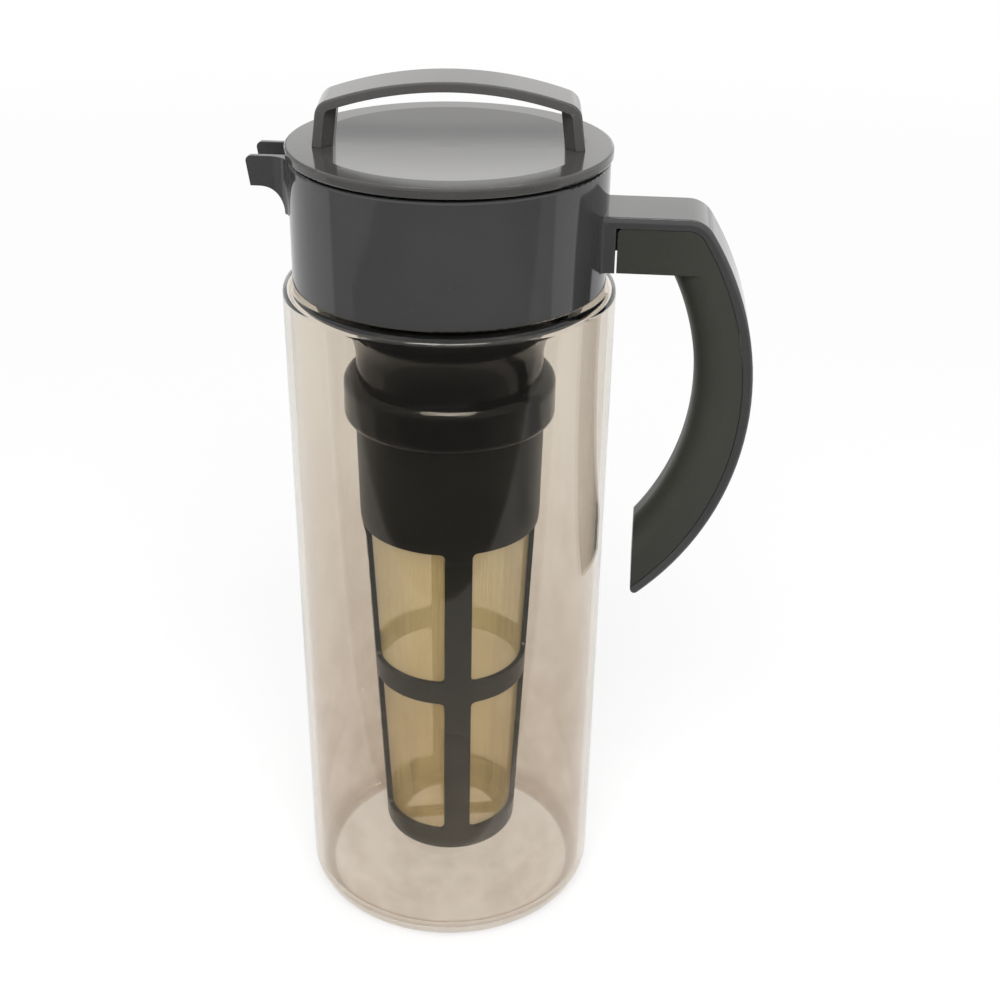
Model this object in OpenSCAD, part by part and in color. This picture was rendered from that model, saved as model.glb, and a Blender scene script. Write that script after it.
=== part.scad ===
// Iced tea pitcher: a clear jar, a press-fit collar with spout and handle, a stopper that carries
// the tea infuser, and a turning lid with a bail. Millimetres, +Z up, origin at the middle of the
// jar's base, +X towards the handle and -X towards the spout.

/* [Jar] */
// Outer radius of the jar just above its heel
jar_base_r = 54.6; // [52:0.1:60]
// Outer radius of the jar just under its shoulder
jar_top_r = 56.5; // [55:0.1:62]
// Thickness of the jar's wall
jar_wall = 2.4; // [1.8:0.1:2.9]
// Thickness of the jar's floor
jar_floor = 3.2; // [2.4:0.1:6]
// Radius of the outside of the heel
jar_heel_r = 8; // [5:0.5:10]
// Radius of the fillet between floor and wall inside the jar
jar_inner_heel_r = 7; // [4:0.5:9]
// Radius of the shoulder under the collar
shoulder_r = 3; // [3:0.25:6.5]
// Height of the top of the shoulder
shoulder_z = 245.4; // [225:0.1:270]
// Outer radius of the neck
neck_r = 49.4; // [47:0.1:50]
// Thickness of the neck's wall
neck_wall = 3; // [2:0.1:3.5]
// Height of the neck above the shoulder
neck_h = 22.6; // [20:0.1:30]
// Radius of the round bead that the collar snaps over
neck_bead_r = 1.2; // [0.8:0.1:1.6]
// Height of the bead above the shoulder
neck_bead_h = 8.4; // [7:0.1:12]

/* [Collar] */
// Gap between the shoulder and the collar's lower edge
collar_gap = 0.7; // [0.3:0.1:1.5]
// Thickness of the collar's wall
collar_wall = 2.1; // [1.6:0.1:3]
// Thickness of the seal on the jar's rim
rim_seal_t = 2; // [1.5:0.1:3]
// Thickness of the ledge above the rim seal
ledge_t = 2.4; // [1.6:0.1:4]
// Height of the collar above the ledge
cup_h = 15.5; // [14:0.1:22]
// Radius on the collar's two outer edges
collar_edge_r = 0.8; // [0.4:0.1:1]
// Height of the snap lip inside the collar
snap_h = 2; // [1.5:0.1:3]

/* [Spout] */
// Reach of the spout beyond the collar
spout_reach = 12.8; // [8:0.1:18]
// Width of the spout over its walls
spout_w = 19; // [15:0.5:26]
// Thickness of the spout's walls and floor
spout_wall = 2; // [1.4:0.1:3]
// Depth of the spout from the collar's top to its underside
spout_h = 10; // [9:0.1:12]
// Radius of the fillet under the spout
spout_fillet_r = 8.5; // [4:0.5:10]
// Radius of the fillets between the spout's sides and the collar
spout_flare_r = 8; // [3:0.5:12]
// How far the spout's tip leans out over its underside
spout_lean = 1.2; // [0:0.1:2]
// Radius of the spout's upper corners
spout_tip_r = 1.8; // [0.5:0.1:3]
// Radius of the trough's lower corners
trough_r = 3; // [1:0.5:4]
// Height of the collar's rim left above the pour window
window_cover = 2; // [1.2:0.1:3]

/* [Handle] */
// Drop from the collar's top to the top of the handle's arm
arm_drop = 15.2; // [12:0.1:22]
// Height of the arm
arm_h = 18.7; // [15:0.1:22]
// Width of the handle
arm_w = 27; // [24:0.5:32]
// Thickness of the spine that wraps the handle's back
spine_t = 3.4; // [2.5:0.1:4.5]
// Radius on the spine's two outer edges
spine_edge_r = 1.6; // [0.5:0.1:2.4]
// Radius of the bend from the arm into the back
spine_bend_r = 9.5; // [6:0.1:13]
// Reach of the boss that joins the arm to the collar
boss_reach = 2.7; // [2:0.1:5]
// Radius of the fillet between boss and collar
boss_fillet_r = 3; // [1:0.5:4]
// Slit between the boss and the grip
grip_slit = 0.6; // [0.4:0.1:1.2]
// Width of the boss's tongue that keys the grip
tongue_w = 10; // [6:0.5:14]
// Reach of the tongue into the grip
tongue_reach = 3; // [2:0.1:5]
// Height of the tongue's lower end above the arm's underside
tongue_rise = 5; // [3:0.1:8]
// Reach of the handle's back beyond the collar
handle_reach = 51.1; // [46:0.1:60]
// Radius of the handle's back
handle_back_r = 105; // [98:1:125]
// Depth of the centre of the back's arc below the arm's top
back_centre_drop = 61.5; // [52:0.1:70]
// Thickness of the handle at its middle
grip_t = 19.6; // [16:0.1:24]
// Radius of the grip's inside
handle_inner_r = 87; // [80:1:95]
// Depth of the centre of the inside arc below the arm's top
inner_centre_drop = 60.6; // [53:0.1:68]
// Distance from the collar to the handle's lower end
handle_end_gap = 13.6; // [11:0.1:20]
// Radius of the spine's lower tip
handle_tip_r = 2; // [1:0.1:2.4]
// Radius on the edges that the fingers close round
grip_edge_r = 11; // [6:0.5:11.5]
// How far the grip's sides lie below the spine's sides
grip_recess = 0.3; // [0.1:0.1:0.8]
// Radius of the grip's corner beside the slit
grip_corner_r = 2; // [1:0.1:4]

/* [Stopper] */
// Thickness of the stopper's walls
stopper_wall = 2; // [1.4:0.1:2.6]
// How far the stopper's cup stands above the collar
cup_proud = 0.6; // [0.4:0.1:1.2]
// Height of the lip that keeps the lid's valve in the cup
cup_lip_h = 2; // [1.2:0.1:2.5]
// Radius of the flare between skirt and stem
flare_r = 18.8; // [16:0.1:26]
// Depth of the bottom of the flare below the shoulder
flare_drop = 26.4; // [20:0.1:32]
// Outer radius of the stem
stem_r = 32.6; // [28:0.1:34]
// Visible length of the stem below the flare
stem_h = 6; // [3:0.1:10]
// Height of the stopper's seal
stopper_seal_h = 5; // [4:0.1:7]
// Depth of the groove that holds the stopper's seal
stopper_groove = 1.1; // [0.7:0.1:1.3]
// Distance from the jar's rim down to the stopper's seal
stopper_seal_drop = 4; // [3:0.1:8]
// Width of each pour slot in the flare
slot_w = 3; // [2:0.1:4]
// Angle between pour slots
slot_pitch = 12; // [10:1:16]
// Number of pour slots
slot_count = 9; // [3:2:11]
// Distance from the stem to the pour slots
slot_land = 3.5; // [2.5:0.1:5]

/* [Infuser socket] */
// Outer radius of the socket
socket_r = 37.1; // [36:0.1:40]
// Radius of the socket's rounded shoulder
socket_shoulder_r = 4.1; // [3:0.1:5]
// Height of the socket
socket_h = 17; // [16:0.1:22]
// Radius of the socket's rounded lower edge
socket_end_r = 2.9; // [1:0.1:3.2]
// Depth of the stem's spigot inside the socket
spigot_h = 7; // [5:0.1:8]
// Thickness of the washer that seals the infuser
washer_t = 1.4; // [1:0.1:2]
// Height of the bayonet lugs above the socket's lower edge
lug_rise = 2.5; // [2:0.1:3]
// Height of a bayonet lug
lug_h = 2.6; // [2:0.1:3.5]
// Angle that a bayonet lug covers
lug_angle = 10; // [6:1:14]
// Number of bayonet lugs
lug_count = 3; // [2:1:4]
// Turn that frees the infuser
twist_angle = 60; // [40:5:75]

/* [Infuser] */
// Outer radius of the infuser's sleeve at its top
sleeve_r = 33.3; // [31:0.1:34]
// Outer radius of the sleeve where its rounded end starts
sleeve_end_r = 32.6; // [31:0.1:33.3]
// Length of the sleeve from the socket's end to the rounded end
sleeve_len = 35; // [25:0.5:45]
// Height of the sleeve's rounded end
sleeve_round_h = 10.5; // [8:0.5:14]
// Thickness of the sleeve
sleeve_wall = 2.4; // [2:0.1:3]
// Outer radius of the basket under the sleeve
basket_top_r = 31; // [29:0.1:32]
// Outer radius of the basket at its foot
basket_foot_r = 25; // [20:0.1:28]
// Thickness of the basket's frame
basket_wall = 1.8; // [1.2:0.1:2.4]
// Gap between the jar's floor and the infuser
infuser_floor_gap = 16.6; // [10:0.1:20]
// Radius of the rounded foot
foot_r = 4; // [2:0.1:5]
// Height of the solid ring at the foot
foot_ring_h = 10.8; // [7:0.1:16]
// Height of the lower row of windows
lower_window_h = 60.3; // [40:0.1:70]
// Height of the ring between the two rows of windows
mid_ring_h = 9; // [5:0.1:14]
// Width of each of the four ribs
rib_w = 9.6; // [6:0.1:12]
// Angle of the first rib from the handle
rib_turn = 12; // [0:1:89]
// Radius of the corners of the windows
window_r = 2; // [0.8:0.1:3]
// Thickness of the mesh sheet
mesh_t = 0.5; // [0.3:0.1:0.8]
// Gap between the mesh sheet and the frame
mesh_gap = 0.2; // [0.15:0.05:0.3]
// How far the mesh sheet reaches above the upper windows
mesh_lap = 2; // [1:0.1:3]
// Thickness of the ring and cross under the mesh floor
foot_floor_t = 1.8; // [1.2:0.1:3]
// Width of the foot's ring under the mesh floor
foot_rim_w = 7; // [5:0.1:10]
// Width of the two arms of the foot's cross
cross_w = 5; // [3:0.1:8]

/* [Lid] */
// How far the lid stands out over the collar
lid_overhang = 0.8; // [0.3:0.1:1.5]
// Height of the lid's rim
lid_rim_h = 3.5; // [3:0.1:5]
// Radius on the lid's two outer edges
lid_edge_r = 0.9; // [0.4:0.1:1.2]
// Width of the flat rim round the dish
lid_rim_w = 8.8; // [5:0.1:12]
// Depth of the dish
dish_depth = 2; // [1:0.1:2.4]
// Thickness of the valve's wall
valve_wall = 2; // [1.4:0.1:2.6]
// Height of the bead that keeps the valve in the cup
valve_bead_h = 0.9; // [0.6:0.1:1.2]
// Height of the valve's seal
valve_seal_h = 1.6; // [1.2:0.1:2]
// Height of the sill between the valve's seal and its pour window
pour_sill = 1; // [0.6:0.1:1.4]

/* [Bail] */
// Height of the bail above the lid
bail_h = 21.4; // [16:0.1:28]
// Depth of the bail from front to back
bail_w = 20; // [14:0.5:26]
// Thickness of the bail's strap
bail_t = 3.2; // [2:0.1:4]
// Turn of the bail from the line of spout and handle while the lid is shut
bail_turn = 4.4; // [0:0.1:10]
// Distance from the lid's edge to the bail's feet
bail_inset = 9.8; // [9:0.1:14]
// Lean of the bail's legs towards each other
bail_lean = 7; // [3:0.5:10]
// Radius of the bail's arch
bail_arch_r = 122.6; // [100:1:150]
// Radius of the bends between legs and arch
bail_bend_r = 5.5; // [4.5:0.1:8]
// Thickness of the rib inside each leg
leg_rib_t = 3.2; // [2:0.1:4]
// Depth of the rib inside each leg
leg_rib_w = 9; // [6:0.5:12]
// Radius on the bail's outer edges
bail_edge_r = 0.7; // [0.3:0.1:0.9]
// Width of the tenon under each leg
tenon_w = 12; // [8:0.5:14]
// Thickness of the tenon under each leg
tenon_t = 1.8; // [1.2:0.1:1.9]

/* [Fits] */
// Gap between pieces that are fixed to each other
fixed_gap = 0.1; // [0.05:0.05:0.15]
// Radial gap between pieces that turn or slide in each other
running_gap = 0.4; // [0.3:0.05:0.5]
// Gap between faces that rest on each other and part
rest_gap = 0.15; // [0.1:0.05:0.25]
// Gap between the lid and the stopper
lid_gap = 0.3; // [0.2:0.05:0.4]
// Gap between a seal and the face that it rubs on
seal_gap = 0.25; // [0.2:0.05:0.3]

/* [Hidden] */
$fn = 96;
// Overlap that joins shapes of one piece
eps = 0.01;
// How far a bend lies inside the pieces that it joins
step = 0.02;
// Length that reaches right through any piece
through = 400;
// How far a cut runs past the face that it cuts, and a join into the piece that it joins
overrun = 1;
// Angle by which a swept shape runs past the face that ends it
run_on = 10;

dark_grey = [0.27, 0.27, 0.28];
satin_grey = [0.24, 0.24, 0.23];
black = [0.12, 0.12, 0.11];
frame_grey = [0.26, 0.26, 0.25];
mesh_tan = [0.73, 0.66, 0.5];
silicone = [0.2, 0.2, 0.2];
clear = [0.86, 0.84, 0.8, 0.35];

// Heights of the jar's neck and the collar
rim_z = shoulder_z + neck_h;
neck_inner_r = neck_r - neck_wall;
bead_z = shoulder_z + neck_bead_h;
collar_z0 = shoulder_z + collar_gap;
ledge_z0 = rim_z + rim_seal_t;
ledge_z1 = ledge_z0 + ledge_t;
collar_z1 = ledge_z1 + cup_h;
collar_bore_r = neck_r + neck_bead_r + fixed_gap * 3;
collar_r = collar_bore_r + collar_wall;
snap_r = neck_r + fixed_gap * 2;
snap_z1 = bead_z - neck_bead_r - fixed_gap;

// Spout
spout_z0 = collar_z1 - spout_h;
trough_z0 = spout_z0 + spout_wall;
trough_w = spout_w - 2 * spout_wall;
window_z1 = collar_z1 - window_cover;
spout_tip_x = collar_r + spout_reach;

// Handle
arm_z1 = collar_z1 - arm_drop;
arm_z0 = arm_z1 - arm_h;
boss_x = collar_r + boss_reach;
grip_x0 = boss_x + grip_slit;
handle_end_x = collar_r + handle_end_gap;
back_x = collar_r + handle_reach - handle_back_r;
back_z = arm_z1 - back_centre_drop;
inner_x = collar_r + handle_reach - grip_t - handle_inner_r;
inner_z = arm_z1 - inner_centre_drop;
bend_z = arm_z1 - spine_bend_r;
bend_x = back_x + sqrt(pow(handle_back_r - spine_bend_r, 2) - pow(bend_z - back_z, 2));
bend_angle = atan2(bend_z - back_z, bend_x - back_x);
back_end_angle = -acos((handle_end_x - back_x) / handle_back_r);
tip_x = handle_end_x + handle_tip_r;
tip_z = back_z - sqrt(pow(handle_back_r - handle_tip_r, 2) - pow(tip_x - back_x, 2));
tip_out = [tip_x - back_x, tip_z - back_z] / (handle_back_r - handle_tip_r);
grip_w = arm_w - 2 * grip_recess;
grip_gap = spine_t + fixed_gap;

// Stopper
cup_r = collar_bore_r - running_gap;
cup_inner_r = cup_r - stopper_wall;
cup_z0 = ledge_z1 + rest_gap;
cup_z1 = collar_z1 + cup_proud;
skirt_r = neck_inner_r - running_gap;
skirt_inner_r = skirt_r - stopper_wall;
stem_inner_r = stem_r - stopper_wall;
flare_z = shoulder_z - flare_drop;
flare_centre_r = stem_r + flare_r;
skirt_z0 = flare_z + sqrt(pow(flare_r, 2) - pow(flare_centre_r - skirt_r, 2));
hang_z = flare_z - stem_h;
spigot_r = stem_r - stopper_wall / 2;
stopper_seal_z1 = rim_z - stopper_seal_drop;
stopper_seal_z0 = stopper_seal_z1 - stopper_seal_h;
slot_r0 = stem_r + slot_land + slot_w / 2;
slot_r1 = skirt_inner_r - slot_w;

// Socket and infuser
socket_bore_r = sleeve_r + running_gap;
socket_neck_r = spigot_r + fixed_gap;
socket_web_z = hang_z - spigot_h;
socket_z0 = hang_z - socket_h;
washer_z1 = socket_web_z - fixed_gap;
infuser_z1 = washer_z1 - washer_t - rest_gap;
lug_depth = sleeve_wall / 2;
lug_z0 = socket_z0 + lug_rise;
sleeve_z0 = socket_z0 - sleeve_len;
basket_z1 = sleeve_z0 - sleeve_round_h;
infuser_z0 = jar_floor + infuser_floor_gap;
lower_window_z0 = infuser_z0 + foot_ring_h;
lower_window_z1 = lower_window_z0 + lower_window_h;
upper_window_z0 = lower_window_z1 + mid_ring_h;
upper_window_z1 = basket_z1 + sleeve_round_h / 2;
basket_slope = (basket_top_r - basket_foot_r) / (basket_z1 - infuser_z0);
round_step = sleeve_end_r - basket_top_r;
round_r = (pow(sleeve_round_h, 2) + pow(round_step, 2)) / (2 * round_step);
mesh_z0 = infuser_z0 + foot_floor_t + fixed_gap;
mesh_z1 = upper_window_z1 + mesh_lap;

// Lid
lid_r = collar_r + lid_overhang;
lid_z0 = cup_z1 + lid_gap;
lid_z1 = lid_z0 + lid_rim_h;
dish_r = lid_r - lid_rim_w;
dish_sphere_r = (pow(dish_r, 2) + pow(dish_depth, 2)) / (2 * dish_depth);
dish_centre_z = lid_z1 - dish_depth + dish_sphere_r;
cup_lip_z = cup_z1 - cup_lip_h;
cup_lip_r = cup_inner_r - 2 * running_gap;
valve_r = cup_lip_r - running_gap;
valve_inner_r = valve_r - valve_wall;
valve_bead_r = cup_inner_r - running_gap;
valve_bead_z1 = cup_lip_z - lid_gap;
valve_z0 = cup_z0 + stopper_wall + lid_gap;
valve_z1 = lid_z0 - fixed_gap;
valve_groove_r = valve_r - valve_wall / 2;
valve_seal_z0 = valve_z0 + valve_wall / 2;
pour_z0 = valve_seal_z0 + valve_seal_h + pour_sill;

// Bail: the corner circle touches the leg's line and the arch's circle
bail_foot_x = lid_r - bail_inset;
bail_top_z = lid_z1 + bail_h;
arch_z = bail_top_z - bail_arch_r;
leg_out = [cos(bail_lean), sin(bail_lean)];
leg_up = [-sin(bail_lean), cos(bail_lean)];
leg_start = [bail_foot_x, lid_z1] - bail_bend_r * leg_out - [0, arch_z];
leg_b = leg_start * leg_up;
leg_len = -leg_b + sqrt(leg_b * leg_b - leg_start * leg_start + pow(bail_arch_r - bail_bend_r, 2));
bend_centre = leg_start + leg_len * leg_up;
arch_angle = atan2(bend_centre[1], bend_centre[0]);

// Moves a flat shape drawn as (x, z) into the upright plane and gives it a width along Y
module upright(width) {
    rotate([90, 0, 0])
        linear_extrude(height = width, center = true)
            children();
}

// Sweeps a flat section, drawn as (radius, y), round an axis along Y from angle a0 to a1
module arc_sweep(x, z, a0, a1) {
    translate([x, 0, z])
        rotate([90, 0, 0])
            rotate([0, 0, a0])
                rotate_extrude(angle = a1 - a0)
                    children();
}

// The same for a bend, which runs on into the pieces at both its ends
module bend_sweep(x, z, a0, a1) {
    overlap = 3;
    arc_sweep(x, z, a0 - overlap, a1 + overlap)
        children();
}

// A ring of rectangular section
module ring(r0, r1, z0, z1) {
    rotate_extrude()
        translate([r0, z0])
            square([r1 - r0, z1 - z0]);
}

// A sector of a ring, starting at angle a0
module ring_sector(r0, r1, z0, z1, a0, angle) {
    rotate([0, 0, a0])
        rotate_extrude(angle = angle)
            translate([r0, z0])
                square([r1 - r0, z1 - z0]);
}

// Half section of a disc with rounded outer edges
module edged_disc(r, z0, z1, edge_r) {
    translate([0, z0])
        square([r - edge_r, z1 - z0]);
    translate([0, z0 + edge_r])
        square([r, z1 - z0 - 2 * edge_r]);
    for (z = [z0 + edge_r, z1 - edge_r])
        translate([r - edge_r, z])
            circle(edge_r);
}

// Half section of a strap whose outer side is at r, with rounded outer edges
module strap_section(r, t, w, edge_r) {
    translate([r - t, -w / 2])
        square([t - edge_r, w]);
    translate([r - t, -w / 2 + edge_r])
        square([t, w - 2 * edge_r]);
    for (side = [-1, 1])
        translate([r - edge_r, side * (w / 2 - edge_r)])
            circle(edge_r);
}

// What a fillet of radius edge_r takes off a corner at (r, w / 2), on both sides of the width
module edge_section(r, w, edge_r) {
    for (side = [0, 1])
        mirror([0, side])
            translate([r, w / 2 - edge_r])
                difference() {
                    translate([-overrun, 0])
                        square([edge_r + overrun, edge_r + overrun]);
                    translate([edge_r - step, step])
                        circle(edge_r);
                }
}

// Jar

module jar_outside() {
    heel_x = jar_base_r - jar_heel_r;
    shoulder_x = jar_top_r - shoulder_r;
    polygon([
        [0, 0],
        [heel_x, 0],
        [jar_base_r, jar_heel_r],
        [jar_top_r, shoulder_z - shoulder_r],
        [shoulder_x, shoulder_z],
        [0, shoulder_z]
    ]);
    translate([heel_x, jar_heel_r])
        circle(jar_heel_r);
    translate([shoulder_x, shoulder_z - shoulder_r])
        circle(shoulder_r);
    translate([0, shoulder_z - shoulder_r])
        square([neck_r, shoulder_r + neck_h]);
    translate([neck_r, bead_z])
        circle(neck_bead_r);
}

module jar_inside() {
    heel_x = jar_base_r - jar_wall - jar_inner_heel_r;
    heel_z = jar_floor + jar_inner_heel_r;
    shoulder_x = jar_top_r - shoulder_r;
    inner_shoulder_r = shoulder_r - jar_wall;
    polygon([
        [0, jar_floor],
        [heel_x, jar_floor],
        [jar_base_r - jar_wall, heel_z],
        [jar_top_r - jar_wall, shoulder_z - shoulder_r],
        [shoulder_x, shoulder_z - jar_wall],
        [0, shoulder_z - jar_wall]
    ]);
    translate([heel_x, heel_z])
        circle(jar_inner_heel_r);
    if (inner_shoulder_r > 0)
        translate([shoulder_x, shoulder_z - shoulder_r])
            circle(inner_shoulder_r);
    translate([0, shoulder_z - shoulder_r])
        square([neck_inner_r, shoulder_r + neck_h + overrun]);
}

module jar() {
    color(clear)
        rotate_extrude()
            difference() {
                jar_outside();
                jar_inside();
            }
}

module rim_seal() {
    color(silicone)
        ring(neck_inner_r + fixed_gap, collar_bore_r - fixed_gap, rim_z, ledge_z0);
}

// Collar with spout, boss and handle spine

module spout_side() {
    fillet_x = -collar_r - spout_fillet_r;
    fillet_z = spout_z0 - spout_fillet_r;
    foot_x = spout_lean - spout_tip_x;
    difference() {
        union() {
            polygon([
                [0, fillet_z],
                [fillet_x, fillet_z],
                [fillet_x, spout_z0],
                [foot_x, spout_z0],
                [-spout_tip_x, collar_z1 - spout_tip_r],
                [spout_tip_r - spout_tip_x, collar_z1],
                [0, collar_z1]
            ]);
            translate([spout_tip_r - spout_tip_x, collar_z1 - spout_tip_r])
                circle(spout_tip_r);
        }
        translate([fillet_x, fillet_z])
            circle(spout_fillet_r);
    }
}

// The trough's open section, drawn as (z, y)
module trough_section(z1) {
    translate([trough_z0 + trough_r, -trough_w / 2])
        square([z1 - trough_z0 - trough_r, trough_w]);
    translate([trough_z0, -trough_w / 2 + trough_r])
        square([trough_r + eps, trough_w - 2 * trough_r]);
    for (side = [-1, 1])
        translate([trough_z0 + trough_r, side * (trough_w / 2 - trough_r)])
            circle(trough_r);
}

module along_spout(x0, x1) {
    translate([-x0, 0, 0])
        rotate([0, -90, 0])
            linear_extrude(height = x1 - x0)
                children();
}

// A bar on the collar seen from above, reaching out to x1, with fillets where it meets the collar
module flared_plan(x1, w, fillet_r) {
    fillet_y = w / 2 + fillet_r;
    fillet_x = sqrt(pow(collar_r + fillet_r, 2) - pow(fillet_y, 2));
    touch = collar_r / (collar_r + fillet_r);
    translate([0, -w / 2])
        square([x1, w]);
    for (side = [-1, 1])
        difference() {
            polygon([
                [fillet_x * touch, side * w / 4],
                [fillet_x * touch, side * fillet_y * touch],
                [fillet_x, side * fillet_y],
                [fillet_x, side * w / 4]
            ]);
            translate([fillet_x, side * fillet_y])
                circle(fillet_r);
        }
}

module spout() {
    intersection() {
        upright(2 * collar_r)
            spout_side();
        mirror([1, 0, 0])
            linear_extrude(height = collar_z1 + overrun)
                flared_plan(spout_tip_x + overrun, spout_w, spout_flare_r);
    }
}

// The tongue on the boss that keys the grip, or the pocket for it with a gap all round
module boss_tongue(gap) {
    translate([boss_x - overrun, -tongue_w / 2 - gap, arm_z0 + tongue_rise - gap])
        cube([
            overrun + grip_slit + tongue_reach + gap,
            tongue_w + 2 * gap,
            arm_h - tongue_rise - spine_t / 2
        ]);
}

// What rounding the spine's lower tip takes off, seen from the side
module tip_corner() {
    reach = 4 * handle_tip_r;
    difference() {
        polygon([
            [tip_x, tip_z],
            [tip_x - reach, tip_z],
            [tip_x - reach, tip_z - reach],
            [tip_x, tip_z] + reach * tip_out
        ]);
        translate([tip_x, tip_z])
            circle(handle_tip_r - step);
    }
}

module handle_spine() {
    translate([bend_x, 0, 0])
        rotate([0, -90, 0])
            linear_extrude(height = bend_x)
                strap_section(arm_z1, spine_t, arm_w, spine_edge_r);
    bend_sweep(bend_x, bend_z, bend_angle, 90)
        strap_section(spine_bend_r - step, spine_t - 2 * step, arm_w - 2 * step, spine_edge_r);
    difference() {
        arc_sweep(back_x, back_z, back_end_angle - run_on, bend_angle)
            strap_section(handle_back_r, spine_t, arm_w, spine_edge_r);
        translate([handle_end_x - through, -through / 2, -through / 2])
            cube([through, through, through / 2 + back_z]);
        upright(2 * arm_w)
            tip_corner();
    }
}

module collar() {
    color(dark_grey)
        difference() {
            union() {
                difference() {
                    union() {
                        rotate_extrude()
                            edged_disc(collar_r, collar_z0, collar_z1, collar_edge_r);
                        spout();
                        translate([0, 0, arm_z0])
                            linear_extrude(height = arm_h - spine_t / 2)
                                flared_plan(boss_x, arm_w, boss_fillet_r);
                        boss_tongue(0);
                        handle_spine();
                    }
                    translate([0, 0, collar_z0 - overrun])
                        cylinder(r = collar_bore_r, h = collar_z1 - collar_z0 + 2 * overrun);
                }
                ring(neck_inner_r + fixed_gap, collar_bore_r + eps, ledge_z0, ledge_z1);
                ring(snap_r, collar_bore_r + eps, snap_z1 - snap_h, snap_z1);
            }
            along_spout(collar_r, spout_tip_x + overrun)
                trough_section(collar_z1 + overrun);
            along_spout(skirt_r, collar_r + eps)
                trough_section(window_z1);
        }
}

// Grip that fills the spine

module grip_side() {
    difference() {
        union() {
            translate([grip_x0, arm_z0])
                square([bend_x - grip_x0, arm_h - grip_gap - grip_corner_r]);
            translate([grip_x0 + grip_corner_r, arm_z0])
                square([bend_x - grip_x0 - grip_corner_r, arm_h - grip_gap]);
            translate([grip_x0 + grip_corner_r, arm_z1 - grip_gap - grip_corner_r])
                circle(grip_corner_r);
            translate([bend_x, bend_z])
                circle(spine_bend_r - grip_gap - step);
            intersection() {
                translate([back_x, back_z])
                    circle(handle_back_r - grip_gap, $fn = 360);
                translate([back_x, back_z])
                    polygon([
                        [0, 0],
                        through * [cos(bend_angle), sin(bend_angle)],
                        through * [1, 0],
                        through * [cos(back_end_angle - run_on), sin(back_end_angle - run_on)]
                    ]);
                translate([grip_x0, 0])
                    square([through, arm_z1]);
            }
        }
        intersection() {
            translate([inner_x, inner_z])
                circle(handle_inner_r, $fn = 360);
            translate([0, -through + arm_z0])
                square([through, through]);
        }
        square([handle_end_x, inner_z]);
    }
}

module handle_grip() {
    color(satin_grey)
        difference() {
            upright(grip_w)
                grip_side();
            boss_tongue(fixed_gap);
            intersection() {
                arc_sweep(inner_x, inner_z, -60, 60)
                    edge_section(handle_inner_r, grip_w, grip_edge_r);
                translate([0, -through / 2, arm_z0 - through])
                    cube(through);
            }
        }
}

// Stopper with its flared stem

module stopper_section() {
    translate([cup_inner_r, cup_z0])
        square([stopper_wall, cup_z1 - cup_z0]);
    translate([cup_lip_r, cup_lip_z])
        square([cup_r - cup_lip_r, cup_lip_h]);
    translate([skirt_inner_r, cup_z0])
        square([cup_r - skirt_inner_r, stopper_wall]);
    difference() {
        translate([skirt_inner_r, skirt_z0 + stopper_wall / 4])
            square([stopper_wall, cup_z0 + stopper_wall * 3 / 4 - skirt_z0]);
        translate([skirt_r - stopper_groove, stopper_seal_z0])
            square([stopper_wall, stopper_seal_h]);
    }
    intersection() {
        difference() {
            translate([flare_centre_r, flare_z])
                circle(flare_r + stopper_wall);
            translate([flare_centre_r, flare_z])
                circle(flare_r);
        }
        translate([stem_inner_r, flare_z])
            square([skirt_r - stem_inner_r, flare_r + stopper_wall]);
    }
    translate([stem_inner_r, hang_z])
        square([stopper_wall, stem_h]);
    translate([stem_inner_r, socket_web_z])
        square([spigot_r - stem_inner_r, spigot_h + eps]);
}

module pour_slot() {
    translate([slot_r0, -slot_w / 2, flare_z])
        cube([slot_r1 - slot_r0, slot_w, flare_r + 2 * stopper_wall]);
    for (r = [slot_r0, slot_r1])
        translate([r, 0, flare_z])
            cylinder(d = slot_w, h = flare_r + 2 * stopper_wall);
}

// The window that the tea pours through, drawn towards the spout
module pour_window(r0, r1) {
    translate([-r1, -trough_w / 2, pour_z0])
        cube([r1 - r0, trough_w, window_z1 - pour_z0 - window_cover / 2]);
}

module stopper() {
    color(black)
        difference() {
            rotate_extrude()
                stopper_section();
            pour_window(cup_inner_r - stopper_wall, cup_r + overrun);
            for (i = [0:slot_count - 1])
                rotate([0, 0, 180 + (i - (slot_count - 1) / 2) * slot_pitch])
                    pour_slot();
        }
}

module stopper_seal() {
    seal_r0 = skirt_r - stopper_groove + fixed_gap;
    seal_r1 = neck_inner_r - seal_gap;
    lip_r = (seal_r1 - seal_r0) / 2;
    color(silicone)
        rotate_extrude() {
            translate([seal_r0, stopper_seal_z0 + fixed_gap])
                square([skirt_r - seal_r0, stopper_seal_h - 2 * fixed_gap]);
            for (z = [stopper_seal_z0 + stopper_seal_h / 4, stopper_seal_z1 - stopper_seal_h / 4])
                translate([seal_r1 - lip_r, z])
                    circle(lip_r);
        }
}

// Socket that the infuser locks into

module socket_section() {
    shoulder_x = socket_r - socket_shoulder_r;
    end_x = socket_r - socket_end_r;
    straight_h = socket_h - socket_shoulder_r - socket_end_r;
    difference() {
        union() {
            translate([socket_neck_r, socket_z0 + socket_end_r])
                square([shoulder_x - socket_neck_r, straight_h + socket_shoulder_r]);
            translate([socket_neck_r, socket_z0 + socket_end_r])
                square([socket_r - socket_neck_r, straight_h]);
            translate([socket_neck_r, socket_z0])
                square([end_x - socket_neck_r, straight_h]);
            translate([shoulder_x, hang_z - socket_shoulder_r])
                circle(socket_shoulder_r);
            translate([end_x, socket_z0 + socket_end_r])
                circle(socket_end_r);
        }
        square([socket_neck_r, hang_z + overrun]);
        square([socket_bore_r, socket_web_z]);
    }
}

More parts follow.
